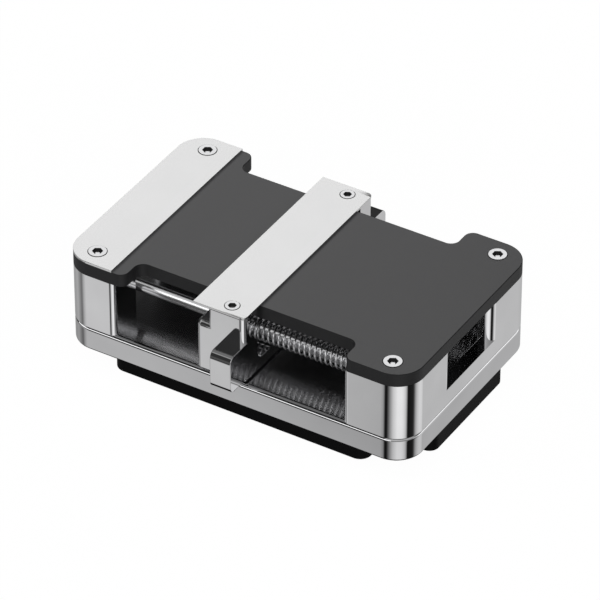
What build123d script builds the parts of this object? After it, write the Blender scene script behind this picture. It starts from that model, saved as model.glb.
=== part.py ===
"""Chip repair fixture: a slider on two sprung guide rods clamps a chip on a plate.

Millimetres. X runs along the fixture, Y from front to back and Z up. The origin is under
the middle of the body, at the silicone pad's underside. The slider stands where its springs
are relaxed.
"""

import os
from math import cos, pi, sin

from build123d import *

# Body outline, shared by the base plate, the end blocks and the top plate
body_length = 80.0
body_depth = 49.4
body_corner_radius = 6.0

# Silicone pad, a plus of two bars
pad_height = 4.1
pad_shift_x = -0.2
pad_shift_y = 0.7
pad_long_length = 79.4
pad_long_depth = 28.4
pad_long_corner = 2.2
pad_wide_length = 59.2
pad_wide_depth = 47.2
pad_wide_corner = 2.6
pad_inner_corner = 2.0
pad_edge_chamfer = 0.2

# Base plate
base_thickness = 5.6
base_bottom_chamfer = 0.5
base_top_chamfer = 0.6

# End blocks: two posts each, joined by an end wall with a window
block_height = 12.8
left_post_length = 12.3
right_post_length = 14.7
post_edge_radius = 1.2
end_wall_thickness = 3.0
hollow_corner_radius = 0.3
window_width = 15.7
window_sill_height = 3.7
window_edge_radius = 2.0

# Top plate
plate_thickness = 2.9
notch_length = 50.5
notch_depth = 6.0
notch_radius = 2.0

# Jaws
jaw_thickness = 0.5
fixed_jaw_length = 11.8
moving_jaw_gap = 0.1
moving_jaw_length = 11.9
moving_jaw_overhang = 0.1
moving_jaw_corner = 1.2

# Slider block
slider_right = 2.8
slider_length = 11.3
slider_floor_gap = 0.5
slider_roof_gap = 1.0
slider_corner_radius = 1.2
step_edge_radius = 1.1
upright_length = 8.4
upright_depth = 5.0
upright_edge_radius = 0.9
pocket_length = 4.8
pocket_floor_height = 2.6
pocket_corner_radius = 2.0

# Pull tabs
tab_length = 4.8
tab_reach = 5.2
tab_height = 8.6
tab_rise = 0.6
tab_edge_radius = 1.6
tab_lower_radius = 0.5

# Guide rods and springs
rod_diameter = 2.4
rod_spacing = 28.8
rod_height = 6.2
rod_seat_depth = 1.5
rod_seat_clearance = 0.02
rod_running_clearance = 0.05
rod_end_chamfer = 0.2
spring_outer_diameter = 4.3
spring_wire = 0.5
spring_turns = 33
spring_sides = 5
spring_wire_flat = 0.44
spring_end_gap = 0.1
spring_side_gap = 0.15

# Countersunk screws with hexagon sockets
screw_inset_x = 5.9
screw_inset_y = 4.15
screw_diameter = 2.0
screw_head_diameter = 3.5
screw_socket = 1.5
plate_screw_length = 8.0
base_screw_length = 11.0
jaw_screw_x = -1.6
jaw_screw_inset_y = 2.7
jaw_screw_diameter = 1.6
jaw_screw_head_diameter = 2.9
jaw_screw_socket = 1.3
jaw_screw_length = 5.0
screw_hole_clearance = 0.05
screw_head_recess = 0.1
screw_tip_gap = 0.4
socket_depth = 0.8
countersink_angle = 90

# Levels and edges that follow from the sizes
half_length = body_length / 2
half_depth = body_depth / 2
base_top = pad_height + base_thickness
block_top = base_top + block_height
plate_top = block_top + plate_thickness
fixed_jaw_top = plate_top + jaw_thickness
moving_jaw_bottom = plate_top + moving_jaw_gap
moving_jaw_top = moving_jaw_bottom + jaw_thickness
slider_bottom = base_top + slider_floor_gap
step_top = block_top - slider_roof_gap
slider_left = slider_right - slider_length
upright_left = slider_right - upright_length
pocket_wall = slider_right - pocket_length
pocket_floor = slider_bottom + pocket_floor_height
rod_level = base_top + rod_height
rod_y = rod_spacing / 2
post_depth = half_depth - rod_y - spring_outer_diameter / 2 - spring_side_gap
rod_radius = rod_diameter / 2
end_wall_inside = half_length - end_wall_thickness
screw_x = half_length - screw_inset_x
screw_y = half_depth - screw_inset_y
jaw_screw_y = half_depth - jaw_screw_inset_y
SHARED = 0.01

ROWS = {"front": -1, "rear": 1}
ENDS = {"left": -1, "right": 1}


def save(builder, name):
    """Labels a finished piece and writes it as a STEP file."""
    builder.part.label = name
    export_step(builder.part, f"parts/{name}.step")


def tapped_hole(diameter):
    """Radius of a hole that a screw of this diameter is fastened in."""
    return diameter / 2 + screw_hole_clearance


def sink_radius(head_diameter):
    """Radius at which a countersink opens around a head set just below the face."""
    return head_diameter / 2 + screw_head_recess


def make_base_plate():
    """Thick plate with broken edges and four countersunk screw holes from below."""
    with BuildPart() as base_plate:
        with BuildSketch(Plane.XY.offset(pad_height)):
            RectangleRounded(body_length, body_depth, body_corner_radius)
        extrude(amount=base_thickness)
        chamfer(base_plate.faces().sort_by(Axis.Z)[0].edges(), base_bottom_chamfer)
        chamfer(base_plate.faces().sort_by(Axis.Z)[-1].edges(), base_top_chamfer)
        underside = Plane(origin=(0, 0, pad_height), z_dir=(0, 0, -1))
        with Locations(underside):
            with GridLocations(2 * screw_x, 2 * screw_y, 2, 2):
                CounterSinkHole(
                    tapped_hole(screw_diameter),
                    sink_radius(screw_head_diameter),
                    counter_sink_angle=countersink_angle,
                )
    save(base_plate, "base_plate")


def make_silicone_pad():
    """Plus-shaped pad: one bar along the fixture and a shorter, deeper one across it."""
    with BuildPart() as silicone_pad:
        with BuildSketch(Plane((pad_shift_x, pad_shift_y, 0))):
            RectangleRounded(pad_long_length, pad_long_depth, pad_long_corner)
            RectangleRounded(pad_wide_length, pad_wide_depth, pad_wide_corner)
            inner = [
                vertex
                for vertex in vertices()
                if abs(abs(vertex.X - pad_shift_x) - pad_wide_length / 2) < SHARED
                and abs(abs(vertex.Y - pad_shift_y) - pad_long_depth / 2) < SHARED
            ]
            fillet(inner, pad_inner_corner)
        extrude(amount=pad_height)
        chamfer(silicone_pad.faces().sort_by(Axis.Z)[0].edges(), pad_edge_chamfer)
    save(silicone_pad, "silicone_pad")


def make_end_block(name, side, post_length):
    """U-shaped block at one end, side -1 for the left and 1 for the right."""
    hollow_length = post_length - end_wall_thickness
    post_face = side * (half_length - post_length)
    with BuildPart() as block:
        with BuildSketch(Plane.XY.offset(base_top)):
            RectangleRounded(body_length, body_depth, body_corner_radius)
            with Locations((side * (half_length - post_length / 2), 0)):
                Rectangle(post_length, body_depth, mode=Mode.INTERSECT)
            with Locations((side * (end_wall_inside - hollow_length / 2), 0)):
                Rectangle(hollow_length, body_depth - 2 * post_depth, mode=Mode.SUBTRACT)
            open_side = vertices().filter_by_position(Axis.X, post_face - SHARED, post_face + SHARED)
            fillet([open_side.sort_by(Axis.Y)[0], open_side.sort_by(Axis.Y)[-1]], post_edge_radius)
            wall_face = side * end_wall_inside
            corners = vertices().filter_by_position(Axis.X, wall_face - SHARED, wall_face + SHARED)
            fillet(corners, hollow_corner_radius)
        extrude(amount=block_height)

        window_height = block_height - window_sill_height
        with BuildSketch(Plane.YZ.offset(side * half_length)):
            with Locations((0, block_top - window_height / 2)):
                Rectangle(window_width, window_height)
        extrude(amount=-side * end_wall_thickness, mode=Mode.SUBTRACT)
        jambs = [
            edge
            for edge in block.edges().filter_by(Axis.Z)
            if abs(abs(edge.center().X) - half_length) < SHARED
            and abs(abs(edge.center().Y) - window_width / 2) < SHARED
        ]
        fillet(jambs, window_edge_radius)

        with BuildSketch(Plane.YZ.offset(side * end_wall_inside)):
            with GridLocations(rod_spacing, 0, 2, 1):
                with Locations((0, rod_level)):
                    Circle(rod_radius + rod_seat_clearance)
        extrude(amount=side * rod_seat_depth, mode=Mode.SUBTRACT)

        plate_hole = plate_screw_length - plate_thickness + screw_tip_gap
        with Locations((side * screw_x, 0, block_top)):
            with GridLocations(0, 2 * screw_y, 1, 2):
                Hole(tapped_hole(screw_diameter), depth=plate_hole)
        base_hole = base_screw_length - base_thickness + screw_tip_gap
        with Locations(Plane(origin=(side * screw_x, 0, base_top), z_dir=(0, 0, -1))):
            with GridLocations(0, 2 * screw_y, 1, 2):
                Hole(tapped_hole(screw_diameter), depth=base_hole)
    save(block, name)


def make_top_plate():
    """Plate on both end blocks, with a long notch at the front and at the back."""
    with BuildPart() as top_plate:
        with BuildSketch(Plane.XY.offset(block_top)):
            RectangleRounded(body_length, body_depth, body_corner_radius)
            with GridLocations(0, body_depth - notch_depth, 1, 2):
                Rectangle(notch_length, notch_depth, mode=Mode.SUBTRACT)
            ends = [v for v in vertices() if abs(abs(v.X) - notch_length / 2) < SHARED]
            fillet(ends, notch_radius)
        extrude(amount=plate_thickness)
        for side in ENDS.values():
            sink = sink_radius(screw_head_diameter)
            if side == ENDS["left"]:
                sink -= jaw_thickness
            with Locations((side * screw_x, 0, plate_top)):
                with GridLocations(0, 2 * screw_y, 1, 2):
                    CounterSinkHole(
                        tapped_hole(screw_diameter), sink, counter_sink_angle=countersink_angle
                    )
    save(top_plate, "top_plate")


def make_fixed_jaw_plate():
    """Thin sheet on the left of the top plate. Its right edge is the fixed jaw."""
    with BuildPart() as fixed_jaw_plate:
        with BuildSketch(Plane.XY.offset(plate_top)):
            RectangleRounded(body_length, body_depth, body_corner_radius)
            with Locations((fixed_jaw_length / 2 - half_length, 0)):
                Rectangle(fixed_jaw_length, body_depth, mode=Mode.INTERSECT)
        extrude(amount=jaw_thickness)
        with Locations((-screw_x, 0, fixed_jaw_top)):
            with GridLocations(0, 2 * screw_y, 1, 2):
                CounterSinkHole(
                    tapped_hole(screw_diameter),
                    sink_radius(screw_head_diameter),
                    counter_sink_angle=countersink_angle,
                )
    save(fixed_jaw_plate, "fixed_jaw_plate")


def make_slider_block():
    """Milled carriage: a stepped bar, an upright and a pull tab at each end, a spring pocket."""
    with BuildPart() as slider_block:
        with BuildSketch(Plane.XY.offset(slider_bottom)):
            with Locations((slider_right - slider_length / 2, 0)):
                RectangleRounded(slider_length, body_depth, slider_corner_radius)
        extrude(amount=step_top - slider_bottom)
        fillet(slider_block.faces().sort_by(Axis.Z)[-1].edges(), step_edge_radius)

        with BuildSketch(Plane.XY.offset(slider_bottom)):
            with Locations((slider_right - upright_length / 2, 0)):
                with GridLocations(0, body_depth - upright_depth, 1, 2):
                    Rectangle(upright_length, upright_depth)
            for face_x, radius in ((slider_right, slider_corner_radius), (upright_left, upright_edge_radius)):
                face_corners = vertices().filter_by_position(Axis.X, face_x - SHARED, face_x + SHARED)
                outer = face_corners.filter_by(lambda v: abs(v.Y) > half_depth - SHARED)
                fillet(outer, radius)
        extrude(amount=moving_jaw_bottom - slider_bottom)

        pocket_depth = body_depth - 2 * upright_depth
        pocket_height = step_top - pocket_floor
        with BuildSketch(Plane.YZ.offset(slider_right)):
            with Locations((0, step_top - pocket_height / 2)):
                Rectangle(pocket_depth, pocket_height)
            fillet(vertices().group_by(Axis.Y)[0], pocket_corner_radius)
        extrude(amount=-pocket_length, mode=Mode.SUBTRACT)

        tab_bottom = slider_bottom + tab_rise
        with BuildSketch(Plane.XY.offset(tab_bottom)):
            with Locations((slider_right - tab_length / 2, 0)):
                with GridLocations(0, body_depth + tab_reach - upright_depth, 1, 2):
                    Rectangle(tab_length, tab_reach + upright_depth)
        extrude(amount=tab_height)
        for level, radius in ((tab_bottom + tab_height, tab_edge_radius), (tab_bottom, tab_lower_radius)):
            tab_edges = [
                edge
                for edge in slider_block.edges().filter_by(Axis.X)
                if abs(edge.center().Z - level) < SHARED
                and abs(edge.center().Y) > half_depth + tab_reach - SHARED
            ]
            fillet(tab_edges, radius)

        with BuildSketch(Plane.YZ.offset(slider_left)):
            with GridLocations(rod_spacing, 0, 2, 1):
                with Locations((0, rod_level)):
                    Circle(rod_radius + rod_running_clearance)
        extrude(amount=slider_length, mode=Mode.SUBTRACT)

        hole_depth = jaw_screw_length - jaw_thickness + screw_tip_gap
        with Locations((jaw_screw_x, 0, moving_jaw_bottom)):
            with GridLocations(0, 2 * jaw_screw_y, 1, 2):
                CounterSinkHole(
                    tapped_hole(jaw_screw_diameter),
                    sink_radius(jaw_screw_head_diameter) - jaw_thickness,
                    depth=hole_depth,
                    counter_sink_angle=countersink_angle,
                )
    save(slider_block, "slider_block")


def make_moving_jaw_plate():
    """Thin bar on the two uprights. Its left edge is the moving jaw."""
    right = slider_right + moving_jaw_overhang
    with BuildPart() as moving_jaw_plate:
        with BuildSketch(Plane.XY.offset(moving_jaw_bottom)):
            with Locations((right - moving_jaw_length / 2, 0)):
                Rectangle(moving_jaw_length, body_depth)
            fillet(vertices().group_by(Axis.X)[-1], moving_jaw_corner)
        extrude(amount=jaw_thickness)
        with Locations((jaw_screw_x, 0, moving_jaw_top)):
            with GridLocations(0, 2 * jaw_screw_y, 1, 2):
                CounterSinkHole(
                    tapped_hole(jaw_screw_diameter),
                    sink_radius(jaw_screw_head_diameter),
                    counter_sink_angle=countersink_angle,
                )
    save(moving_jaw_plate, "moving_jaw_plate")


def make_guide_rod(name, row):
    """Ground rod seated in a blind bore of each end wall."""
    rod_end = end_wall_inside + rod_seat_depth
    with BuildPart() as rod:
        with BuildSketch(Plane.YZ.offset(-rod_end)):
            with Locations((row * rod_y, rod_level)):
                Circle(rod_radius)
        extrude(amount=2 * rod_end)
        chamfer(rod.edges().filter_by(GeomType.CIRCLE), rod_end_chamfer)
    save(rod, name)


def make_spring(name, row):
    """Compression spring on a rod, between the slider's pocket and the right end wall.

    Each turn is a few straight lengths of wire with a square section, mitred together.
    """
    coil_radius = (spring_outer_diameter - spring_wire) / 2
    coil_start = pocket_wall + spring_end_gap + spring_wire / 2
    coil_length = end_wall_inside - spring_end_gap - spring_wire / 2 - coil_start
    step_count = spring_turns * spring_sides
    corners = []
    for step in range(step_count + 1):
        turn = 2 * pi * step / spring_sides
        corners.append(
            (
                coil_start + coil_length * step / step_count,
                row * rod_y + coil_radius * cos(turn),
                rod_level + coil_radius * sin(turn),
            )
        )
    with BuildPart() as spring:
        with BuildLine() as coil:
            Polyline(*corners)
        with BuildSketch(Plane(origin=coil.line @ 0, x_dir=(0, 1, 0), z_dir=coil.line % 0)):
            Rectangle(spring_wire_flat, spring_wire_flat)
        sweep(transition=Transition.RIGHT)
    save(spring, name)


def make_screw(name, seat, up, diameter, head_diameter, length, socket):
    """Countersunk screw. The seat is on the face it is let into, and up is 1 or -1."""
    x, y, z = seat
    top = (x, y, z - up * screw_head_recess)
    head_radius = head_diameter / 2
    radius = diameter / 2
    cone = head_radius - radius
    with BuildPart() as screw:
        with BuildSketch(Plane(origin=top, x_dir=(1, 0, 0), z_dir=(0, -up, 0))):
            with BuildLine():
                Polyline(
                    (0, 0),
                    (head_radius, 0),
                    (radius, -cone),
                    (radius, -length),
                    (0, -length),
                    close=True,
                )
            make_face()
        revolve(axis=Axis(top, (0, 0, up)))
        with BuildSketch(Plane(origin=top, x_dir=(1, 0, 0), z_dir=(0, 0, up))):
            RegularPolygon(socket / 2, 6, major_radius=False)
        extrude(amount=-socket_depth, mode=Mode.SUBTRACT)
    save(screw, name)


def make_screws():
    """Screws through the top plate, through the base plate and through the moving jaw."""
    for row_name, row in ROWS.items():
        for end_name, side in ENDS.items():
            plate_face = fixed_jaw_top if end_name == "left" else plate_top
            jaw_extra = plate_face - plate_top
            make_screw(
                f"plate_screw_{row_name}_{end_name}",
                (side * screw_x, row * screw_y, plate_face),
                1,
                screw_diameter,
                screw_head_diameter,
                plate_screw_length + jaw_extra - screw_head_recess,
                screw_socket,
            )
            make_screw(
                f"base_screw_{row_name}_{end_name}",
                (side * screw_x, row * screw_y, pad_height),
                -1,
                screw_diameter,
                screw_head_diameter,
                base_screw_length - screw_head_recess,
                screw_socket,
            )
        make_screw(
            f"jaw_screw_{row_name}",
            (jaw_screw_x, row * jaw_screw_y, moving_jaw_top),
            1,
            jaw_screw_diameter,
            jaw_screw_head_diameter,
            jaw_screw_length - screw_head_recess,
            jaw_screw_socket,
        )


def main():
    """Builds and writes every piece."""
    os.makedirs("parts", exist_ok=True)
    make_silicone_pad()
    make_base_plate()
    make_end_block("left_end_block", ENDS["left"], left_post_length)
    make_end_block("right_end_block", ENDS["right"], right_post_length)
    make_top_plate()
    make_fixed_jaw_plate()
    make_slider_block()
    make_moving_jaw_plate()
    for row_name, row in ROWS.items():
        make_guide_rod(f"{row_name}_guide_rod", row)
        make_spring(f"{row_name}_spring", row)
    make_screws()


main()
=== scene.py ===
"""Looks of a small sprung chip fixture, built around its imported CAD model.

Lengths in the classes are millimetres in the CAD's own frame, and a mesh is written in metres.
"""

import logging
import math
from dataclasses import dataclass, field
from enum import Enum
from functools import cache
from typing import Sequence

import bmesh
import bpy
import numpy as np
from bpy.types import ID, Material, Mesh, Node, NodeTree, Object
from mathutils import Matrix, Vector
from mathutils.geometry import tessellate_polygon


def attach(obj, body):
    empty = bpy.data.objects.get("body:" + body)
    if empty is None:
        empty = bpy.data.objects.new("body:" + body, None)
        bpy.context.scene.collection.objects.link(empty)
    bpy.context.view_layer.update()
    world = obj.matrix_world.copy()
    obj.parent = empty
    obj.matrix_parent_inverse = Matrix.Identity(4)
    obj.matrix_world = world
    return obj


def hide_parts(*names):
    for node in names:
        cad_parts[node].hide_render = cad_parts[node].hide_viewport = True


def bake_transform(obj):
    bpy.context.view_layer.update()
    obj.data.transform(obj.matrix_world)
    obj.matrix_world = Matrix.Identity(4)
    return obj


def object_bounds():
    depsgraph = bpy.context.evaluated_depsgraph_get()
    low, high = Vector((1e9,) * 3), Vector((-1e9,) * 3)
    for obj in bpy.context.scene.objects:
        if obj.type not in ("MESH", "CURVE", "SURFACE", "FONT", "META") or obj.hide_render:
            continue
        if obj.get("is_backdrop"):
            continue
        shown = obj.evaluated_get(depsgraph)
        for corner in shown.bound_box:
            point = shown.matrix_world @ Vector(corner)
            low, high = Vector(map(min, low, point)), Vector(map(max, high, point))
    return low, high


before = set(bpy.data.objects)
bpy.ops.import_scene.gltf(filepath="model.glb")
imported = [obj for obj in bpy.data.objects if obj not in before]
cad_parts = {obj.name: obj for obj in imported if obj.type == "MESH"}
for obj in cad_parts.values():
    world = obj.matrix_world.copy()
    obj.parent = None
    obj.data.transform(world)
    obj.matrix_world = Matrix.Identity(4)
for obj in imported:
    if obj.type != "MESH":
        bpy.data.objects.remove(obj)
CAD_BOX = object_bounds()

LOG = logging.getLogger("fixture")
MM = 0.001
MERGE_DISTANCE = 2e-6
ARC_STEPS = 14
RING_STEPS = 48
SHARP_DEGREES = 35.0
SCREW_SHARP_DEGREES = 25.0
BREAK_DEGREES = 40.0
LEVEL_TOLERANCE = 0.01
TINY_ANGLE = 1e-6
TINY_AREA = 1e-9
SQUARE = ((-1, -1), (1, -1), (1, 1), (-1, 1))

Corner = tuple[float, float, float]
Pair = tuple[float, float]
Rounds = tuple[float, float, int]

SHARP: Rounds = (0.0, 0.0, 1)


class Body(Enum):
    """CAD bodies that a piece may ride on."""

    FRAME = "frame"
    SLIDER = "slider"


class Axis(Enum):
    """Direction that a prism is drawn out along."""

    Z = "z"
    X = "x"


def preset(node: Node, values: dict[str, object]) -> Node:
    """Sets a node's inputs.

    Args:
        node: the node.
        values: value of each input by its name.

    Returns:
        The node.
    """
    for name, value in values.items():
        node.inputs[name].default_value = value
    return node


def new_object(name: str, data: ID, place: Vector | None = None, back: Vector | None = None) -> Object:
    """Makes an object and links it to the scene.

    Args:
        name: its name.
        data: its mesh, light or camera.
        place: where a light or a camera stands, in metres.
        back: direction from what it looks at to itself.

    Returns:
        The object.
    """
    made = bpy.data.objects.new(name, data)
    if back is not None:
        made.location, made.rotation_mode = place, "QUATERNION"
        made.rotation_quaternion = back.to_track_quat("Z", "Y")
    bpy.context.collection.objects.link(made)
    return made


@dataclass
class Outline:
    """Closed line in a plane, anticlockwise, with the way out of the metal at each point.

    Attributes:
        points: N by 2 places in millimetres.
        outward: N by 2 vectors. A point moved by d times its vector lies on the line offset by d.
    """

    points: np.ndarray
    outward: np.ndarray

    @classmethod
    def rounded(cls, corners: Sequence[Corner], steps: int = ARC_STEPS) -> "Outline":
        """Draws straight lines between corners and an arc in each.

        With n1 and n2 the outward normals of the two lines that meet, the arc's points are
        centre plus or minus radius times the normal swung from n1 to n2. A sharp corner keeps one
        point, whose outward vector is (n1 + n2) / (1 + n1 . n2).

        Args:
            corners: x, y and radius of each corner, anticlockwise.
            steps: lengths of line in a quarter turn.

        Returns:
            The outline, with its arcs as short straight lengths.
        """
        places = np.array([c[:2] for c in corners], float)
        radii = np.array([c[2] for c in corners], float)
        ahead = np.roll(places, -1, axis=0) - places
        ahead /= np.linalg.norm(ahead, axis=1)[:, None]
        normals = np.stack([ahead[:, 1], -ahead[:, 0]], axis=1)
        points, outward = [], []
        for place, radius, d1, n1, n2 in zip(
            places, radii, np.roll(ahead, 1, axis=0), np.roll(normals, 1, axis=0), normals
        ):
            swing = math.atan2(n1[0] * n2[1] - n1[1] * n2[0], float(n1 @ n2))
            if radius == 0 or abs(swing) < TINY_ANGLE:
                points.append(place[None])
                outward.append(((n1 + n2) / (1 + n1 @ n2))[None])
                continue
            count = max(2, round(steps * abs(swing) / (math.pi / 2)))
            angle = math.atan2(n1[1], n1[0]) + np.linspace(0, swing, count + 1)
            normal = np.stack([np.cos(angle), np.sin(angle)], axis=1)
            side = math.copysign(1.0, swing)
            start = place - d1 * radius * math.tan(abs(swing) / 2)
            centre = start - side * n1 * radius
            points.append(centre + side * radius * normal)
            outward.append(normal)
        return cls(np.concatenate(points), np.concatenate(outward))


def edge_profile(low: float, high: float, low_round: float, high_round: float, steps: int) -> np.ndarray:
    """Section of a wall from its lower to its upper face, with both edges rounded.

    A point at angle a of the lower round lies r (1 - sin a) inside the wall and r (1 - cos a)
    above the face, and the upper round mirrors it.

    Args:
        low: level of the lower face.
        high: level of the upper face.
        low_round: radius of the lower edge, or 0 for a sharp one.
        high_round: radius of the upper edge, or 0 for a sharp one.
        steps: lengths of line in each round.

    Returns:
        Rows of how far inside the wall a point lies, and its level.
    """
    angle = np.linspace(0, math.pi / 2, steps + 1)
    under = np.stack([low_round * (1 - np.sin(angle)), low + low_round * (1 - np.cos(angle))], axis=1)
    over = np.stack([high_round * (1 - np.cos(angle)), high - high_round * (1 - np.sin(angle))], axis=1)
    return np.concatenate([under if low_round else under[-1:], over if high_round else over[:1]])


@dataclass(frozen=True)
class Hole:
    """Round hole let into a face of a prism.

    Attributes:
        x: place of its axis.
        y: place of its axis.
        profile: radius and level of each step, from the face inwards.
        through: True where the last step opens in the other face.
    """

    x: float
    y: float
    profile: tuple[Pair, ...]
    through: bool = False

    def rings(self) -> np.ndarray:
        """Draws a ring at each step of the profile.

        Returns:
            The hole's wall, steps by RING_STEPS by 3.
        """
        profile = np.array(self.profile)
        angle = np.linspace(0, 2 * math.pi, RING_STEPS, endpoint=False)
        radius, level = profile[:, :1], profile[:, 1:]
        return np.stack(
            [self.x + radius * np.cos(angle), self.y + radius * np.sin(angle), level + 0 * angle], axis=-1
        )


class Shell:
    """Faces gathered into one closed mesh."""

    def __init__(self) -> None:
        """Starts with no faces."""
        self.points: list[np.ndarray] = []
        self.faces: list[tuple[int, ...]] = []
        self.finishes: list[int] = []
        self.count = 0

    def _add(self, points: np.ndarray, faces: np.ndarray, finish: int) -> None:
        """Adds points and faces.

        Args:
            points: places in millimetres.
            faces: rows that number those points from 0.
            finish: number of the material slot.
        """
        self.points.append(points.reshape(-1, 3))
        self.faces.extend(map(tuple, (faces + self.count).tolist()))
        self.finishes.extend([finish] * len(faces))
        self.count += len(self.points[-1])

    def grid(self, points: np.ndarray, finish: int = 0, flip: bool = False) -> None:
        """Adds a surface over a grid of points that closes on itself along its second side.

        Args:
            points: rows by columns by 3. Faces look out where columns run anticlockwise and rows rise.
            finish: number of the material slot.
            flip: True to turn the faces over.
        """
        rows, columns = points.shape[:2]
        row, column = np.meshgrid(np.arange(rows - 1), np.arange(columns), indexing="ij")
        here = (row * columns + column).ravel()
        beside = (row * columns + (column + 1) % columns).ravel()
        faces = np.stack([here, beside, beside + columns, here + columns], axis=1)
        self._add(points, faces[:, ::-1] if flip else faces, finish)

    def cap(self, ring: np.ndarray, holes: Sequence[np.ndarray], up: bool, finish: int = 0) -> None:
        """Fills a flat ring in a level plane, round its holes.

        Args:
            ring: N by 3 points of the outer edge.
            holes: rings of the holes.
            up: True where the face looks up.
            finish: number of the material slot.
        """
        loops = [ring, *holes]
        flat = np.concatenate(loops)
        triangles = np.array(tessellate_polygon([[Vector(p) for p in loop.tolist()] for loop in loops]))
        a, b, c = (flat[triangles[:, k], :2] for k in range(3))
        area = (b[:, 0] - a[:, 0]) * (c[:, 1] - a[:, 1]) - (b[:, 1] - a[:, 1]) * (c[:, 0] - a[:, 0])
        wrong = (area > 0) != up
        triangles[wrong] = triangles[wrong][:, ::-1]
        self._add(flat, triangles[np.abs(area) > TINY_AREA], finish)

    def prism(
        self,
        outline: Outline,
        profile: np.ndarray,
        upper_holes: Sequence[Hole] = (),
        lower_holes: Sequence[Hole] = (),
        finishes: tuple[int, int, int] = (0, 0, 0),
        caps: tuple[bool, bool] = (True, True),
    ) -> None:
        """Carries a wall's section round an outline and closes it with flat faces.

        A point of the wall is outline minus inset times its outward vector, at the section's level.

        Args:
            outline: the plan.
            profile: rows of inset and level, rising.
            upper_holes: holes let into the upper face.
            lower_holes: holes let into the lower face.
            finishes: material slots of the wall, the upper face and the lower face.
            caps: whether the lower and the upper face are filled.
        """
        inset, level = profile[:, 0, None, None], profile[:, 1]
        plan = outline.points[None] - inset * outline.outward[None]
        height = np.broadcast_to(level[:, None, None], (*plan.shape[:2], 1))
        wall = np.concatenate([plan, height], axis=2)
        self.grid(wall, finishes[0])
        upper, lower = [], []
        for hole in upper_holes:
            rings = hole.rings()
            self.grid(rings[::-1], finishes[0], flip=True)
            upper.append(rings[0])
            if hole.through:
                lower.append(rings[-1])
            else:
                self.cap(rings[-1], [], True, finishes[0])
        for hole in lower_holes:
            rings = hole.rings()
            self.grid(rings, finishes[0], flip=True)
            lower.append(rings[0])
            self.cap(rings[-1], [], False, finishes[0])
        if caps[1]:
            self.cap(wall[-1], upper, True, finishes[1])
        if caps[0]:
            self.cap(wall[0], lower, False, finishes[2])

    @classmethod
    def box(
        cls, low: Corner, high: Corner, radii: Sequence[float], rounds: Rounds = SHARP, **more: object
    ) -> "Shell":
        """Box between two corners.

        Args:
            low: its lowest corner.
            high: its highest corner.
            radii: radii of the plan's corners, from the low one anticlockwise.
            rounds: radii of the lower and upper edges, and their steps.
            more: the prism's holes and finishes.

        Returns:
            A shell with the box in it.
        """
        (x0, y0, z0), (x1, y1, z1) = low, high
        corners = zip((x0, x1, x1, x0), (y0, y0, y1, y1), radii)
        shell = cls()
        shell.prism(Outline.rounded(list(corners)), edge_profile(z0, z1, *rounds), **more)
        return shell

    def mesh(self, name: str, axis: Axis = Axis.Z, sharp_degrees: float = SHARP_DEGREES) -> Mesh:
        """Writes the faces to a mesh, joined where they meet.

        Args:
            name: the mesh's name.
            axis: direction that stands for a prism's own Z.
            sharp_degrees: edges that turn by more than this stay sharp.

        Returns:
            A closed mesh in metres.
        """
        points = np.concatenate(self.points) * MM
        if axis is Axis.X:
            points = points[:, [2, 0, 1]]
        made = bpy.data.meshes.new(name)
        made.from_pydata(points.tolist(), [], self.faces)
        made.polygons.foreach_set("material_index", np.array(self.finishes, np.int32))
        work = bmesh.new()
        work.from_mesh(made)
        bmesh.ops.remove_doubles(work, verts=work.verts, dist=MERGE_DISTANCE)
        bmesh.ops.dissolve_degenerate(work, edges=work.edges, dist=MERGE_DISTANCE)
        work.to_mesh(made)
        work.free()
        made.shade_smooth()
        made.set_sharp_from_angle(angle=math.radians(sharp_degrees))
        return made


NOISE_RANGE = (0.1, 0.42)
TINT_STOPS = (0.3, 0.7)


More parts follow.
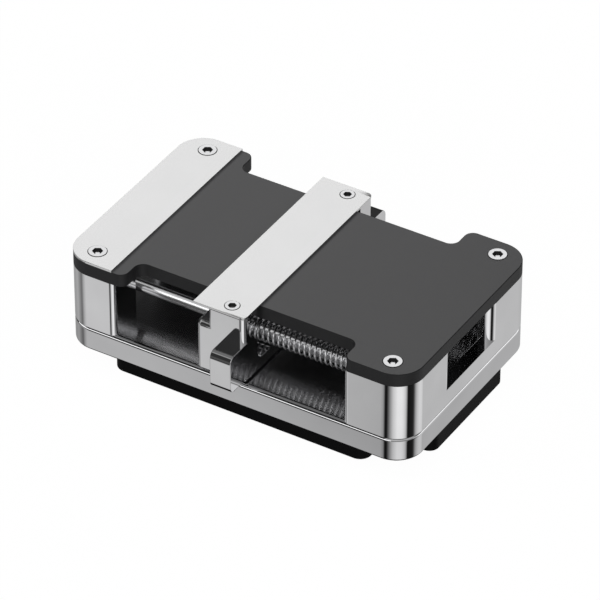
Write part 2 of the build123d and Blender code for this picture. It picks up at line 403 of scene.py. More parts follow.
@dataclass(frozen=True)
class Finish:
    """Surface of one material, worked out from Object coordinates.

    Attributes:
        name: the material's name.
        color: linear red, green and blue.
        metallic: 1 for bare metal, 0 for anything else.
        roughness: lowest and highest roughness of the surface.
        grain: waves per metre of the fine grain along X, Y and Z.
        depth: height of the grain in metres.
        tint: how far the colour wanders from its mean, as a share of it.
        specular: specular level of a surface that isn't metal.
        cloud: waves per metre of the slow change in colour and roughness.
        brushed: how far reflections are drawn out across brush marks that run along X.
    """

    name: str
    color: Corner
    metallic: float
    roughness: Pair
    grain: Corner
    depth: float
    tint: float = 0.03
    specular: float = 0.5
    cloud: float = 90.0
    brushed: float = 0.0

    @cache
    def material(self) -> Material:
        """Builds the material once: two noises drive colour and roughness, and one the bump.

        Roughness follows the noises' product, and the colour is its mean times 1 plus or minus tint.

        Returns:
            The material.
        """
        made = bpy.data.materials.new(self.name)
        made.use_nodes = True
        tree = made.node_tree
        tree.nodes.clear()
        new, link = tree.nodes.new, tree.links.new
        out, shader = new("ShaderNodeOutputMaterial"), new("ShaderNodeBsdfPrincipled")
        link(shader.outputs["BSDF"], out.inputs["Surface"])
        preset(shader, {"Metallic": self.metallic, "Specular IOR Level": self.specular})
        place, spread = new("ShaderNodeTexCoord"), new("ShaderNodeMapping")
        preset(spread, {"Scale": self.grain})
        link(place.outputs["Object"], spread.inputs["Vector"])
        fine, slow = new("ShaderNodeTexNoise"), new("ShaderNodeTexNoise")
        preset(fine, {"Scale": 1.0, "Detail": 3.0})
        link(spread.outputs["Vector"], fine.inputs["Vector"])
        preset(slow, {"Scale": self.cloud, "Detail": 2.0})
        link(place.outputs["Object"], slow.inputs["Vector"])
        both, rough = new("ShaderNodeMath"), new("ShaderNodeMapRange")
        both.operation = "MULTIPLY"
        link(fine.outputs["Fac"], both.inputs[0])
        link(slow.outputs["Fac"], both.inputs[1])
        (low, high), (least, most) = NOISE_RANGE, self.roughness
        preset(rough, {"From Min": low, "From Max": high, "To Min": least, "To Max": most})
        link(both.outputs["Value"], rough.inputs["Value"])
        link(rough.outputs["Result"], shader.inputs["Roughness"])
        ramp, bump = new("ShaderNodeValToRGB"), new("ShaderNodeBump")
        for stop, way, at in zip(ramp.color_ramp.elements, (-1, 1), TINT_STOPS):
            stop.position = at
            stop.color = (*(min(1.0, c * (1 + way * self.tint)) for c in self.color), 1)
        link(slow.outputs["Fac"], ramp.inputs["Fac"])
        link(ramp.outputs["Color"], shader.inputs["Base Color"])
        preset(bump, {"Strength": 1.0, "Distance": self.depth})
        link(fine.outputs["Fac"], bump.inputs["Height"])
        link(bump.outputs["Normal"], shader.inputs["Normal"])
        if self.brushed:
            across = preset(new("ShaderNodeCombineXYZ"), {"Y": 1.0})
            link(across.outputs[0], shader.inputs["Tangent"])
            preset(shader, {"Anisotropic": self.brushed})
        return made


POLISHED = Finish("polished_steel", (0.86, 0.86, 0.87), 1.0, (0.015, 0.05), (2400, 2400, 900), 2e-7, 0.04)
# Painted shade: the base plate's sides and underside take a darker copy of the blocks' polished steel. It
# stands for the shadowed floor near the fixture that they mirror.
BASE_SIDE_SHADE = Finish("ground_steel", (0.70, 0.70, 0.71), 1.0, (0.015, 0.05), (900, 900, 2400), 2e-7, 0.04)
SATIN_FLOOR = Finish(
    "brushed_steel", (0.78, 0.78, 0.79), 1.0, (0.14, 0.17), (300, 1500, 900), 3e-8, brushed=0.9
)
SHEET = Finish("satin_sheet", (0.88,) * 3, 1.0, (0.2, 0.26), (3200,) * 3, 1.2e-7)
SHEET_EDGE = Finish("cut_edge", (0.8,) * 3, 1.0, (0.08, 0.14), (2500, 2500, 5000), 3e-7)
BLACK_PLATE = Finish(
    "black_anodised", (0.12, 0.12, 0.1225), 0.0, (0.42, 0.52), (3500,) * 3, 8e-7, 0.08, specular=0.8
)
# Painted shade: a much darker copy of the plate's black anodising, for the plate's walls, hole walls and
# underside, so that the underside reads as shaded.
BLACK_PAINTED_SHADE = Finish(
    "black_edge", (0.02, 0.02, 0.021), 0.0, (0.45, 0.55), (3500,) * 3, 8e-7, 0.05, specular=0.25
)
RUBBER = Finish(
    "black_silicone", (0.003, 0.003, 0.0032), 0.0, (0.5, 0.6), (1800,) * 3, 3e-6, 0.1, specular=0.08
)
ROD = Finish("ground_rod", (0.86, 0.86, 0.87), 1.0, (0.18, 0.26), (4000, 700, 700), 1e-7)
WIRE = Finish("spring_wire", (0.8, 0.8, 0.81), 1.0, (0.18, 0.28), (2500,) * 3, 3e-7)
SCREW = Finish("screw_steel", (0.95, 0.95, 0.96), 1.0, (0.1, 0.18), (3000,) * 3, 4e-7)
# Painted shade: near-black for the socket's walls and the screw head's rim and underside. It stands for the
# shade in the socket and in the gap round the head.
SOCKET_SHADE = Finish("socket_dark", (0.02,) * 3, 0.0, (0.5, 0.6), (3000,) * 3, 4e-7, 0.05, specular=0.2)


class Workshop:
    def __init__(self) -> None:
        """Starts with no pieces."""
        self.pieces: list[Object] = []

    def piece(
        self, mesh: Mesh, name: str, finishes: Sequence[Finish], body: Body | None, node: str, slot: str
    ) -> Object:
        """Makes a finished piece that stands for a CAD node.

        Args:
            mesh: its final mesh.
            name: its name.
            finishes: materials in the order of the mesh's slots.
            body: CAD body it rides on, or None where it bends between two.
            node: CAD node it stands for.
            slot: the record's material slot; not used.

        Returns:
            The object.
        """
        made = new_object(name, mesh)
        for finish in finishes:
            mesh.materials.append(finish.material())
        even = made.modifiers.new("even_normals", "WEIGHTED_NORMAL")
        even.keep_sharp = True
        if body:
            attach(made, body.value)
        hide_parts(node)
        self.pieces.append(made)
        LOG.info("%s: %d faces for %s", name, len(mesh.polygons), node)
        return made


@dataclass
class Stack:
    """Base plate, top plate, jaw sheets and silicone pad, all cut from flat stock."""

    half_length: float = 40.0
    half_depth: float = 24.7
    corner: float = 6.0
    pad_top: float = 4.1
    base_top: float = 9.7
    plate_bottom: float = 22.5
    plate_top: float = 25.4
    sheet: float = 0.5
    screw_x: float = 34.1
    screw_y: float = 20.55
    screw_sink: float = 1.98
    screw_hole: float = 1.05
    sink_rim: float = 0.06
    base_hole_end: float = 8.5
    plate_hole_end: float = 23.0
    under_sheet: float = 1.5
    sheet_hole: float = 1.55
    jaw_screw_x: float = -1.6
    jaw_screw_y: float = 22.0
    jaw_screw_face: float = 26.0
    jaw_screw_sink: float = 1.58
    jaw_screw_hole: float = 1.2
    notch_half: float = 25.25
    notch_inner: float = 18.7
    notch_round: float = 2.0
    fixed_jaw_end: float = -28.2
    bar_ends: Pair = (-9.0, 2.9)
    bar_corner: float = 1.2
    bar_gap: float = 0.1
    bar_rise: float = 0.04
    base_rounds: Rounds = (0.5, 0.95, 8)
    plate_rounds: Rounds = (0.1, 0.16, 3)
    sheet_rounds: Rounds = (0.04, 0.06, 2)
    pad_rounds: Rounds = (0.2, 0.1, 4)
    pad_long: Pair = (39.7, 14.2)
    pad_wide: Pair = (29.6, 23.6)
    pad_corners: Corner = (2.2, 2.0, 2.6)
    pad_shift: Pair = (-0.2, 0.7)

    def _sink(self, x: float, y: float, face: float, way: int, wide: float, end: float) -> Hole:
        """Countersunk hole: a broken rim, a cone at 45 degrees and a straight bore.

        Args:
            x: place of its axis.
            y: place of its axis.
            face: level of the face it opens in.
            way: 1 where it goes down from the face, -1 where it goes up.
            wide: radius at the face.
            end: level where the bore stops.

        Returns:
            A blind hole.
        """
        rim, narrow = self.sink_rim, self.screw_hole
        cone = ((wide, face - way * rim), (narrow, face - way * (rim + wide - narrow)))
        return Hole(x, y, ((wide + rim, face), *cone, (narrow, end)))

    def base_plate(self) -> Mesh:
        """Thick plate: both edges rounded, four screw holes from below.

        Returns:
            Its mesh.
        """
        wide, end = self.screw_sink, self.base_hole_end
        holes = [
            self._sink(x * self.screw_x, y * self.screw_y, self.pad_top, -1, wide, end)
            for x in (-1, 1)
            for y in (-1, 1)
        ]
        x, y, radii = self.half_length, self.half_depth, (self.corner,) * 4
        low, high = (-x, -y, self.pad_top), (x, y, self.base_top)
        # Slot 0, the darker painted shade, goes on the walls, the holes and the underside.
        shell = Shell.box(low, high, radii, self.base_rounds, lower_holes=holes, finishes=(0, 1, 0))
        return shell.mesh("base_plate_polished")

    def top_plate(self) -> Mesh:
        """Black plate with a long notch in the front and in the back edge.

        Returns:
            Its mesh.
        """
        x, y, c = self.half_length, self.half_depth, self.corner
        n, i, r = self.notch_half, self.notch_inner, self.notch_round
        half = [(x, y, c), (n, y, r), (n, i, r), (-n, i, r), (-n, y, r), (-x, y, c)]
        other = [(-a, -b, radius) for a, b, radius in half]
        holes = [
            self._sink(place, s * self.screw_y, self.plate_top, 1, wide, self.plate_hole_end)
            for place, wide in ((self.screw_x, self.screw_sink), (-self.screw_x, self.under_sheet))
            for s in (-1, 1)
        ]
        shell = Shell()
        profile = edge_profile(self.plate_bottom, self.plate_top, *self.plate_rounds)
        # Slot 1, the painted shade, goes on the walls, the hole walls and the underside.
        shell.prism(Outline.rounded(half + other), profile, upper_holes=holes, finishes=(1, 0, 1))
        return shell.mesh("top_plate_black")

    def _jaw(
        self, name: str, low: Corner, high: Corner, radii: Sequence[float], screw: Sequence[float]
    ) -> Mesh:
        """Thin sheet with two countersunk holes right through it.

        Args:
            name: the mesh's name.
            low: its lowest corner.
            high: its highest corner.
            radii: radii of its corners, from the low one anticlockwise.
            screw: x and y of a hole, and its radii at the upper and the lower face.

        Returns:
            Its mesh.
        """
        (x, y, wide, narrow), rim = screw, self.sink_rim
        steps = ((wide + rim, high[2]), (wide, high[2] - rim), (narrow, low[2]))
        holes = [Hole(x, s * y, steps, True) for s in (-1, 1)]
        shell = Shell.box(low, high, radii, self.sheet_rounds, upper_holes=holes, finishes=(1, 0, 0))
        return shell.mesh(name)

    def fixed_jaw(self) -> Mesh:
        """The sheet on the plate's left end.

        Returns:
            Its mesh.
        """
        x, y, r = self.half_length, self.half_depth, self.corner
        low, high = (-x, -y, self.plate_top), (self.fixed_jaw_end, y, self.plate_top + self.sheet)
        screw = (-self.screw_x, self.screw_y, self.screw_sink, self.sheet_hole)
        return self._jaw("fixed_jaw_satin", low, high, (r, 0, 0, r), screw)

    def moving_jaw(self) -> Mesh:
        """The bar on the slider's uprights.

        Returns:
            Its mesh.
        """
        (left, right), y, r = self.bar_ends, self.half_depth, self.bar_corner
        low = (left, -y, self.plate_top + self.bar_gap)
        high = (right, y, self.plate_top + self.bar_rise + self.sheet)
        screw = (self.jaw_screw_x, self.jaw_screw_y, self.jaw_screw_sink, self.jaw_screw_hole)
        return self._jaw("moving_jaw_satin", low, high, (0, r, r, 0), screw)

    def pad(self) -> Mesh:
        """Plus of a long and a wide bar, with softly broken edges.

        Returns:
            Its mesh.
        """
        (long_x, long_y), (wide_x, wide_y) = self.pad_long, self.pad_wide
        end, inner, side = self.pad_corners
        quarter = [(long_x, long_y, end), (wide_x, long_y, inner), (wide_x, wide_y, side)]
        half = quarter + [(-a, b, c) for a, b, c in quarter[::-1]]
        outline = Outline.rounded(half + [(-a, -b, c) for a, b, c in half])
        outline.points += self.pad_shift
        shell = Shell()
        shell.prism(outline, edge_profile(0, self.pad_top, *self.pad_rounds))
        return shell.mesh("pad_silicone")


@dataclass
class EndBlock:
    """U-shaped block at one end: two posts and an end wall with a window."""

    side: int
    post_length: float
    low: float = 9.7
    sill: float = 13.4
    high: float = 22.5
    half_length: float = 40.0
    half_depth: float = 24.7
    wall: float = 3.0
    hollow: float = 16.7
    window: float = 7.85
    window_round: float = 2.0
    corner: float = 6.0
    post_corner: float = 1.2
    hollow_corner: float = 0.3

    def mesh(self) -> Mesh:
        """Full U up to the sill, two L-shaped posts above it, and the sill's own face between.

        Returns:
            Its mesh.
        """
        x, y, inner, wide = self.half_length, self.half_depth, self.half_length - self.wall, self.window
        flare, face = self.window + self.window_round, self.half_length - self.post_length
        upper = [(x, y, self.corner), (face, y, self.post_corner), (face, self.hollow, 0)]
        upper += [(inner, self.hollow, self.hollow_corner), (inner, wide, 0)]
        jamb = [(x, wide, self.window_round)]
        lower = [(x, -flare, 0), (x, flare, 0), *upper]
        lower += [(a, -b, c) for a, b, c in upper[::-1]]
        shell = Shell()
        shell.prism(self._place(lower), edge_profile(self.low, self.sill, *SHARP), caps=(True, False))
        posts = [self._place([*upper, *jamb]), self._place([(a, -b, c) for a, b, c in (upper + jamb)[::-1]])]
        for post in posts:
            shell.prism(post, edge_profile(self.sill, self.high, *SHARP), caps=(False, True))
        self._sill(shell)
        return shell.mesh(f"{'left' if self.side < 0 else 'right'}_end_block_polished")

    def _place(self, corners: list[Corner]) -> Outline:
        """Brings a plan drawn for the right end to this block's end.

        Args:
            corners: x, y and radius of each corner, anticlockwise.

        Returns:
            The outline, mirrored for the left end.
        """
        if self.side > 0:
            return Outline.rounded(corners)
        return Outline.rounded([(-a, b, c) for a, b, c in corners[::-1]])

    def _sill(self, shell: Shell) -> None:
        """Fills the sill between the window's two flared jambs.

        A point at angle a of a jamb's flare lies r (1 - sin a) inside the end wall's face and
        r (1 - cos a) outside the window's width.

        Args:
            shell: gets the face.
        """
        x, wide, r, inner = self.half_length, self.window, self.window_round, self.half_length - self.wall
        angle = np.linspace(0, math.pi / 2, ARC_STEPS + 1)
        flare = np.stack([x - r + r * np.sin(angle), wide + r * (1 - np.cos(angle))], axis=1)
        ring = np.concatenate([[[inner, wide]], flare, (flare * [1, -1])[::-1], [[inner, -wide]]])
        ring[:, 0] *= self.side
        shell.cap(np.column_stack([ring, np.full(len(ring), self.sill)]), [], True)


@dataclass
class Slider:
    """Milled carriage: a stepped bar, two uprights, two pull tabs and a pocket for the springs."""

    left: float = -8.5
    right: float = 2.8
    low: float = 10.2
    step: float = 21.5
    high: float = 25.5
    half_depth: float = 24.7
    upright_left: float = -5.6
    upright_inner: float = 19.7
    pocket_wall: float = -2.0
    pocket_floor: float = 12.8
    tab_root: float = 1.5
    tab_reach: float = 5.2
    tab_low: float = 10.8
    tab_high: float = 19.4
    tab_rounds: Pair = (1.3, 1.6)
    corner: float = 1.2
    step_rounds: Rounds = (0.0, 1.1, 8)
    upright_foot: float = 0.4
    upright_round: float = 0.9
    pocket_round: float = 2.0
    pocket_over: Pair = (2.0, 3.0)
    tools: list[Object] = field(default_factory=list)

    def mesh(self) -> Mesh:
        """Joins the bar, uprights and tabs and cuts the pocket.

        Returns:
            Its mesh.
        """
        name, y, radii = "slider_polished", self.half_depth, (self.corner,) * 4
        bar = Shell.box((self.left, -y, self.low), (self.right, y, self.step), radii, self.step_rounds)
        made = new_object(name, bar.mesh(name))
        for side in (-1, 1):
            self._cut(made, self._upright(side), "UNION")
        self._cut(made, self._pocket(), "DIFFERENCE")
        for side in (-1, 1):
            self._cut(made, self._tab(side), "UNION")
        bpy.context.view_layer.update()
        shape = made.evaluated_get(bpy.context.evaluated_depsgraph_get())
        final = bpy.data.meshes.new_from_object(shape)
        final.name = name
        for tool in [*self.tools, made]:
            bpy.data.objects.remove(tool)
        final.materials.clear()
        final.shade_smooth()
        final.set_sharp_from_angle(angle=math.radians(SHARP_DEGREES))
        return final

    def _cut(self, made: Object, mesh: Mesh, operation: str) -> None:
        """Adds a cut or a join to an object.

        Args:
            made: the object.
            mesh: the tool's mesh.
            operation: name of the Boolean operation.
        """
        tool = new_object(mesh.name, mesh)
        self.tools.append(tool)
        cut = made.modifiers.new(mesh.name, "BOOLEAN")
        cut.operation, cut.object, cut.solver = operation, tool, "EXACT"

    def _upright(self, side: int) -> Mesh:
        """Upright at one end, down through the bar.

        Args:
            side: -1 for the front and 1 for the back.

        Returns:
            Its mesh.
        """
        near, far = sorted((side * self.upright_inner, side * self.half_depth))
        left, right = self.upright_round, self.corner
        radii = (0, 0, right, left) if side > 0 else (left, right, 0, 0)
        low = (self.upright_left, near, self.low + self.upright_foot)
        return Shell.box(low, (self.right, far, self.high), radii).mesh("upright")

    def _pocket(self) -> Mesh:
        """Open-topped pocket, drawn out along X past the slider's face, with rounded lower corners.

        Returns:
            Its mesh.
        """
        y, r, over = self.upright_inner, self.pocket_round, self.pocket_over
        low, high = (-y, self.pocket_floor, self.pocket_wall), (y, self.step + over[0], self.right + over[1])
        return Shell.box(low, high, (r, r, 0, 0)).mesh("pocket", Axis.X)

    def _tab(self, side: int) -> Mesh:
        """Pull tab, drawn out along X, with its outer edges rounded.

        Args:
            side: -1 for the front and 1 for the back.

        Returns:
            Its mesh.
        """
        root, tip = self.half_depth - self.tab_root, self.half_depth + self.tab_reach
        near, far = sorted((side * root, side * tip))
        under, over = self.tab_rounds
        radii = (0, under, over, 0) if side > 0 else (under, 0, 0, over)
        low, high = (near, self.tab_low, self.pocket_wall), (far, self.tab_high, self.right)
        return Shell.box(low, high, radii).mesh("tab", Axis.X)


@dataclass
class RodAndSpring:
    """Ground guide rod and the compression spring on it."""

    row: int
    level: float = 15.9
    spacing: float = 14.4
    rod_radius: float = 1.2
    rod_end: float = 38.5
    rod_rounds: Rounds = (0.2, 0.2, 3)
    rod_steps: int = 12
    start: float = -1.75
    end: float = 36.75
    coil_radius: float = 1.9
    wire: float = 0.25
    turns: int = 33
    turn_steps: int = 30
    wire_sides: int = 12
    close_pitch: float = 0.5

    def rod(self) -> Mesh:
        """Rod: a circle carried along X, with a small round at each end and flat ends.

        Returns:
            Its mesh.
        """
        shell = Shell()
        r = self.rod_radius
        circle = Outline.rounded([(s * r, t * r, r) for s, t in SQUARE], self.rod_steps)
        circle.points += (self.row * self.spacing, self.level)
        shell.prism(circle, edge_profile(-self.rod_end, self.rod_end, *self.rod_rounds))
        return shell.mesh("rod", Axis.X)

    def spring(self) -> Mesh:
        """Spring wire: a circle carried along a helix, with a close last turn at each end.

        At turn t the wire's middle lies at (x(t), R cos t, R sin t) round the rod, where x grows
        evenly but for one turn at each end. The circle lies across the helix, in the plane of the
        radial vector and the vector across both it and the wire's own direction.

        Returns:
            A tube with round ends.
        """
        t = np.linspace(0, 2 * math.pi * self.turns, self.turns * self.turn_steps + 1)
        share = t / t[-1]
        pitch = np.ones_like(t)
        close = 1.0 / self.turns
        pitch[(share < close) | (share > 1 - close)] = self.close_pitch
        x = np.concatenate([[0], np.cumsum((pitch[1:] + pitch[:-1]) / 2)])
        x = self.start + (self.end - self.start) * x / x[-1]
        radial = np.stack([np.zeros_like(t), np.cos(t), np.sin(t)], axis=1)
        middle = self.coil_radius * radial + np.stack([x, 0 * t, 0 * t], axis=1)
        along = np.gradient(middle, axis=0)
        along /= np.linalg.norm(along, axis=1)[:, None]
        across = np.cross(along, radial)
        angle = np.linspace(0, 2 * math.pi, self.wire_sides, endpoint=False)[None, :, None]
        ring = np.cos(angle) * radial[:, None] + np.sin(angle) * across[:, None]
        tube = middle[:, None] + self.wire * ring
        ends = middle[[0, -1]][:, None] + 0 * ring[:1]
        tube = np.concatenate([ends[:1], tube, ends[1:]])
        tube += (0, self.row * self.spacing, self.level)
        shell = Shell()
        shell.grid(tube, flip=True)
        return shell.mesh("spring")


@dataclass
class Screw:
    """Countersunk screw with a hexagon socket.

    Its head lies recess below a face and looks up (1) or down (-1). socket is half the hexagon's
    width, floor and foot are the shares of it that the flat floor and the foot of the walls take,
    and brim, edge, lip and tip are small heights and widths.
    """

    x: float
    y: float
    face: float
    up: int
    head: float = 1.9
    shank: float = 1.0
    socket: float = 0.98
    length: float = 7.9
    recess: float = 0.0
    socket_depth: float = 0.55
    floor: float = 0.45
    foot: float = 0.5
    brim: float = 0.16
    edge: float = 0.03
    lip: float = 0.02
    tip: float = 0.2

    def mesh(self) -> Mesh:
        """Turns the section round its axis.

        The socket's radius at an angle is its half width divided by the cosine of the angle to the
        middle of the nearest flat. A row gives a share of that radius, what is added to it, and the
        depth below the head.

        Returns:
            A closed mesh. The socket's floor, its rim and the head's top are bright, and the socket's walls,
            the head's rim and its underside are near-black as painted shade in the socket and in the gap
            round the head.
        """
        angle = np.linspace(0, 2 * math.pi, RING_STEPS, endpoint=False)
        flat = self.socket / np.cos((angle + math.pi / 6) % (math.pi / 3) - math.pi / 6)
        top = self.face - self.up * self.recess
        neck = self.brim + self.head - self.shank
        rows = np.array([
            (0, 0, self.socket_depth),
            (self.floor, 0, self.socket_depth),
            (self.foot, 0, self.socket_depth - self.edge),
            (1, 0, self.lip),
            (1, self.lip, 0),
            (0, self.head - self.edge, 0),
            (0, self.head, self.edge),
            (0, self.head, self.brim),
            (0, self.shank, neck),
            (0, self.shank, self.length - self.tip),
            (0, self.shank - self.tip, self.length),
            (0, 0, self.length),
        ])
        radius = rows[:, :1] * flat + rows[:, 1:2]
        level = top - self.up * rows[:, 2:] + 0 * radius
        rings = np.stack([self.x + radius * np.cos(angle), self.y + radius * np.sin(angle), level], axis=-1)
        shell = Shell()
        # Finish 1 is the painted shade: the socket's walls, and the head's rim and underside.
        for low, high, finish in ((0, 1, 0), (1, 3, 1), (3, 5, 0), (5, len(rows) - 1, 1)):
            shell.grid(rings[low : high + 1], finish, flip=self.up > 0)
        return shell.mesh("screw", sharp_degrees=SCREW_SHARP_DEGREES)


MIRRORED = (-0.417, 0.685, 0.597)
FLAT_PARTS = ("top_plate", "fixed_jaw", "moving_jaw")
SCREWS = ("_screw_",)
RODS = ("_rod_",)
BASE = ("base_plate",)


@dataclass(frozen=True)
class Lamp:
    """Soft rectangular light in place of a card held near the fixture, for some of its pieces only.

    It stands at start plus distance times away, all in metres. Where away is MIRRORED, the flat tops
    mirror it to the camera. It lights the pieces whose names hold one of the words in lights.
    """

    name: str
    energy: float
    size: Pair
    away: Corner
    lights: tuple[str, ...]
    distance: float = 0.5
    start: Corner = (0.0, 0.0, 0.0)

    def place(self, pieces: Sequence[Object]) -> None:
        """Makes the light, facing the fixture, and ties it to its pieces.

        Args:
            pieces: the fixture's pieces.
        """
        data = bpy.data.lights.new(self.name, "AREA")
        data.shape, data.size, data.size_y = "RECTANGLE", *self.size
        data.energy = self.energy
        away = Vector(self.away)
        made = new_object(self.name, data, Vector(self.start) + self.distance * away, away)
        lit = bpy.data.collections.new(self.name)
        for piece in pieces:
            if any(word in piece.name for word in self.lights):
                lit.objects.link(piece)
        made.light_linking.receiver_collection = lit
        made.light_linking.blocker_collection = lit


LAMPS = (
    Lamp("upper_soft", 0.245, (0.3, 0.3), MIRRORED, FLAT_PARTS, start=(-0.03, -0.035, 0.025)),
    Lamp("front_soft", 0.42, (0.6, 0.6), (-0.433, -0.75, 0.5), FLAT_PARTS + SCREWS),
    Lamp("top_soft", 0.25, (0.4, 0.4), (0.0, 0.0, 1.0), FLAT_PARTS + SCREWS),
    Lamp("screw_soft", 0.15, (0.25, 0.25), MIRRORED, SCREWS),
    Lamp("rod_soft_low", 0.7, (1.0, 0.22), (-0.45, -0.645, 0.615), ("front_spring", *RODS)),
    Lamp("rod_soft_high", 0.009, (0.06, 0.09), (-0.32, -0.3, 0.9), RODS, 0.06, (-0.035, -0.017, 0.018)),
    Lamp("edge_soft", 0.6, (1.0, 0.12), (-0.5, -0.86, 0.12), BASE),
    Lamp("edge_soft_right", 0.16, (1.0, 0.06), (0.73, 0.68, 0.04), BASE),
)


WHITE = (1, 1, 1, 1)
RAMP_TOP = 1.25


@dataclass(frozen=True)
class Belt:
    """Ring of the surroundings between two elevations.

    Attributes:
        starts: elevation in degrees where it begins to take over from the belt below.
        full: elevation where it has taken over.
        stops: compass angle from +X in degrees and brightness there.
    """

    starts: float
    full: float
    stops: tuple[Pair, ...]


BELTS = (
    Belt(-90, -90, ((-180, 0.01), (180, 0.01))),
    Belt(-49, -42, (
        (-180, 0.52), (-153, 0.19), (-142, 0.54), (-132, 0.75), (-123, 0.75), (-121, 0.6), (-118.5, 0.49),
        (-113, 0.45), (-109, 0.3), (-104, 0.012), (-96, 0.012), (-90, 0.15), (-79, 0.54), (-72, 0.8),
        (-56, 1.12), (-41, 1.12), (-33, 1.0), (-25.5, 0.74), (-21, 0.4), (-17.5, 0.01), (3, 0.02),
        (8, 0.05), (13, 0.25), (17, 0.47), (27, 0.77), (38, 0.92), (50, 0.86), (58, 0.62), (62, 0.68),
        (110, 0.55), (160, 0.43), (180, 0.52),
    )),
    Belt(-31, -25, (
        (-180, 0.4), (-142, 0.5), (-129, 0.5), (-124, 0.05), (-100, 0.05), (-90, 0.15), (-79, 0.54),
        (-56, 1.12), (-33, 1.0), (-17.5, 0.01), (3, 0.02), (17, 0.47), (38, 0.92), (58, 0.62), (110, 0.55),
        (180, 0.4),
    )),
    Belt(-16, -9, (
        (-180, 0.03), (-160, 0.05), (-140, 0.3), (-130, 0.1), (-106, 0.1), (-98, 0.35), (0, 0.3),
        (15, 0.4), (25, 1.05), (60, 1.05), (75, 0.6), (90, 0.03), (180, 0.03),
    )),
    Belt(6, 16, (
        (-180, 0.03), (-160, 0.1), (-145, 0.6), (-138, 0.6), (-131, 0.04), (-105, 0.04), (-99, 0.7),
        (-60, 0.9), (0, 0.6), (15, 0.3), (25, 0.05), (75, 0.05), (90, 0.03), (180, 0.03),
    )),
    Belt(30, 36, (
        (-180, 0.5), (-150, 0.6), (-138, 0.5), (-131, 0.04), (-105, 0.04), (-99, 0.5), (-75, 0.5),
        (-50, 0.4), (0, 0.3), (66, 0.2), (95, 0.08), (108, 0.04), (140, 0.04), (160, 0.2), (180, 0.4),
    )),
    Belt(54, 62, ((-180, 0.2), (180, 0.2))),
)


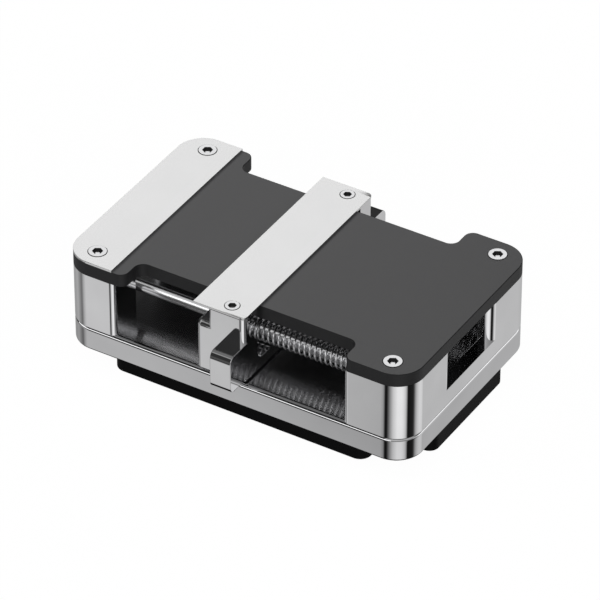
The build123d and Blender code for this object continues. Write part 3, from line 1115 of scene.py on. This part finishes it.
@dataclass
class Studio:
    """Camera, pale floor and a soft surround in belts of light and dark.

    The camera looks at a point target_z above the origin, from azimuth degrees right of the front and
    elevation degrees above the floor, moved to its own right and up by the two shifts.
    """

    azimuth: float = 31.344
    elevation: float = 36.654
    distance: float = 1008.80
    shift_right: float = 0.474
    shift_up: float = -1.985
    target_z: float = 16.4
    lens: float = 302.4972
    sensor: float = 36.0
    floor_half: float = 6.0
    floor_grey: float = 0.12
    floor_glow: float = 0.97

    def camera(self) -> None:
        """Camera at the photograph's viewing angle, about a metre away."""
        a, e = math.radians(self.azimuth), math.radians(self.elevation)
        back = Vector((math.sin(a) * math.cos(e), -math.cos(a) * math.cos(e), math.sin(e)))
        right = Vector((math.cos(a), math.sin(a), 0))
        up = back.cross(right)
        data = bpy.data.cameras.new("camera")
        data.lens, data.sensor_width = self.lens, self.sensor
        data.clip_start, data.clip_end = 0.05, 20.0
        place = Vector((0, 0, self.target_z)) + right * self.shift_right + up * self.shift_up
        made = new_object("camera", data, (place + back * self.distance) * MM, back)
        bpy.context.scene.camera = made

    def floor(self) -> None:
        """Wide pale floor that glows a little, so that only the contact shadow shows on it."""
        mesh = bpy.data.meshes.new("floor")
        half = self.floor_half
        mesh.from_pydata([(s * half, t * half, 0) for s, t in SQUARE], [], [(0, 1, 2, 3)])
        made = new_object("floor", mesh)
        made.visible_glossy = False
        material = bpy.data.materials.new("pale_floor")
        material.use_nodes = True
        shader = material.node_tree.nodes["Principled BSDF"]
        preset(shader, {"Base Color": (*([self.floor_grey] * 3), 1), "Roughness": 0.9})
        preset(shader, {"Emission Color": WHITE, "Emission Strength": self.floor_glow})
        mesh.materials.append(material)
        made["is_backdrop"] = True

    def surround(self) -> None:
        """World light in belts of elevation, each with its own brightness by compass direction.

        The compass angle is the arctangent of Y over X, and the elevation the arcsine of Z.
        """
        world = bpy.data.worlds.new("studio")
        bpy.context.scene.world = world
        world.use_nodes = True
        tree = world.node_tree
        tree.nodes.clear()
        new, link = tree.nodes.new, tree.links.new
        out = new("ShaderNodeOutputWorld")
        light, plain = new("ShaderNodeBackground"), new("ShaderNodeBackground")
        path, choose = new("ShaderNodeLightPath"), new("ShaderNodeMixShader")
        link(path.outputs["Is Camera Ray"], choose.inputs[0])
        link(light.outputs[0], choose.inputs[1])
        link(plain.outputs[0], choose.inputs[2])
        link(choose.outputs[0], out.inputs["Surface"])
        preset(plain, {"Color": WHITE})
        place, split = new("ShaderNodeTexCoord"), new("ShaderNodeSeparateXYZ")
        link(place.outputs["Generated"], split.inputs[0])
        compass, share, rise = new("ShaderNodeMath"), new("ShaderNodeMapRange"), new("ShaderNodeMath")
        compass.operation, rise.operation = "ARCTAN2", "ARCSINE"
        link(split.outputs["Y"], compass.inputs[0])
        link(split.outputs["X"], compass.inputs[1])
        link(split.outputs["Z"], rise.inputs[0])
        preset(share, {"From Min": -math.pi, "From Max": math.pi})
        link(compass.outputs[0], share.inputs["Value"])
        grey = None
        for belt in BELTS:
            ramp = self._ramp(tree, belt.stops)
            link(share.outputs["Result"], ramp.inputs["Fac"])
            scaled = new("ShaderNodeMath")
            scaled.operation = "MULTIPLY"
            scaled.inputs[1].default_value = RAMP_TOP
            link(ramp.outputs["Color"], scaled.inputs[0])
            if grey is None:
                grey = scaled.outputs[0]
                continue
            above, mix = new("ShaderNodeMapRange"), new("ShaderNodeMix")
            above.interpolation_type = "SMOOTHSTEP"
            preset(above, {"From Min": math.radians(belt.starts), "From Max": math.radians(belt.full)})
            link(rise.outputs[0], above.inputs["Value"])
            link(above.outputs["Result"], mix.inputs[0])
            link(grey, mix.inputs[2])
            link(scaled.outputs[0], mix.inputs[3])
            grey = mix.outputs[0]
        link(grey, light.inputs["Strength"])

    def _ramp(self, tree: NodeTree, stops: Sequence[Pair]) -> Node:
        """Grey ramp over the whole compass, as a share of RAMP_TOP.

        Args:
            tree: gets the node.
            stops: compass angle and brightness of each stop.

        Returns:
            The ramp's node.
        """
        node = tree.nodes.new("ShaderNodeValToRGB")
        elements = node.color_ramp.elements
        for element, (angle, grey) in zip(elements, (stops[0], stops[-1])):
            element.position = (angle + 180) / 360
            element.color = (*([grey / RAMP_TOP] * 3), 1)
        for angle, grey in stops[1:-1]:
            element = elements.new((angle + 180) / 360)
            element.color = (*([grey / RAMP_TOP] * 3), 1)
        return node


POSTS = (("left", -1, 12.3), ("right", 1, 14.7))
BLOCK_BREAK = 0.12
SLIDER_BREAK = 0.13
PLATE_SCREW = {"length": 7.9, "recess": -0.09}
BASE_SCREW = {"length": 10.9}
JAW_SCREW = {"head": 1.5, "shank": 0.8, "socket": 0.78, "length": 4.9}


def add_screw(shop: Workshop, screw: Screw, node: str, body: Body) -> None:
    """Makes a screw's piece and names it after the CAD node that it stands for."""
    shop.piece(screw.mesh(), f"{node}_steel", (SCREW, SOCKET_SHADE), body, node, "screw_steel")


def build_pieces(shop: Workshop) -> list[Object]:
    """Makes every visible piece and gives each to its body.

    Args:
        shop: makes and dresses the objects.

    Returns:
        The pieces.
    """
    stack = Stack()
    fixed, moving = Body.FRAME, Body.SLIDER
    for mesh, finishes, body, node, slot in (
        (stack.base_plate(), (BASE_SIDE_SHADE, SATIN_FLOOR), fixed, "base_plate", "polished_steel"),
        (stack.top_plate(), (BLACK_PLATE, BLACK_PAINTED_SHADE), fixed, "top_plate", "black_plate"),
        (stack.fixed_jaw(), (SHEET, SHEET_EDGE), fixed, "fixed_jaw_plate", "satin_sheet"),
        (stack.moving_jaw(), (SHEET, SHEET_EDGE), moving, "moving_jaw_plate", "satin_sheet"),
        (stack.pad(), (RUBBER,), fixed, "silicone_pad", "silicone"),
    ):
        shop.piece(mesh, mesh.name, finishes, body, node, slot)
    for end, side, length in POSTS:
        block, name = EndBlock(side, length), f"{end}_block_polished"
        made = shop.piece(block.mesh(), name, (POLISHED,), fixed, f"{end}_end_block", "polished_steel")
        break_edges(made, BLOCK_BREAK, (block.low, block.high))
    carriage = Slider().mesh()
    made = shop.piece(carriage, "slider_polished", (POLISHED,), moving, "slider_block", "polished_steel")
    break_edges(made, SLIDER_BREAK, ())
    for name, row in (("front", -1), ("rear", 1)):
        pair = RodAndSpring(row)
        shop.piece(pair.rod(), f"{name}_rod_ground", (ROD,), fixed, f"{name}_guide_rod", "ground_rod")
        coil, node = pair.spring(), f"{name}_spring"
        spring = shop.piece(coil, f"{node}_wire", (WIRE,), None, node, "spring_wire")
        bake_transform(spring)
        for end, side, _ in POSTS:
            x, y = side * stack.screw_x, row * stack.screw_y
            face = stack.plate_top + (stack.sheet if side < 0 else 0)
            add_screw(shop, Screw(x, y, face, 1, **PLATE_SCREW), f"plate_screw_{name}_{end}", fixed)
            add_screw(shop, Screw(x, y, stack.pad_top, -1, **BASE_SCREW), f"base_screw_{name}_{end}", fixed)
        jaw = Screw(stack.jaw_screw_x, row * stack.jaw_screw_y, stack.jaw_screw_face, 1, **JAW_SCREW)
        add_screw(shop, jaw, f"jaw_screw_{name}", moving)
    return shop.pieces


def break_edges(made: Object, width: float, kept: Sequence[float]) -> None:
    """Adds a small round to a piece's sharp outer edges, before the normals are evened.

    Args:
        made: the piece.
        width: width of the round in millimetres.
        kept: levels of the faces whose edges stay sharp, because another piece lies on them.
    """
    work = bmesh.new()
    work.from_mesh(made.data)
    weight = work.edges.layers.float.new("bevel_weight_edge")
    for edge in work.edges:
        levels = [vert.co.z / MM for vert in edge.verts]
        on_face = any(max(abs(level - face) for level in levels) < LEVEL_TOLERANCE for face in kept)
        if not on_face and edge.is_convex and edge.calc_face_angle(0.0) > math.radians(BREAK_DEGREES):
            edge[weight] = 1.0
    work.to_mesh(made.data)
    work.free()
    bevel = made.modifiers.new("broken_edges", "BEVEL")
    bevel.width, bevel.segments = width * MM, 3
    bevel.limit_method = "WEIGHT"
    bevel.use_clamp_overlap = False
    made.modifiers.move(1, 0)


def main() -> None:
    logging.basicConfig(level=logging.INFO, format="%(message)s")
    bpy.context.scene.view_settings.view_transform = "Standard"
    studio = Studio()
    studio.camera()
    studio.floor()
    studio.surround()
    pieces = build_pieces(Workshop())
    for lamp in LAMPS:
        lamp.place(pieces)
    boxes = [[list(corner) for corner in box] for box in (CAD_BOX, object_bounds())]
    for name, box in zip(("CAD", "visual"), boxes):
        LOG.info("%s box %s", name, [[round(v / MM, 2) for v in corner] for corner in box])


if __name__ == "__main__":
    main()
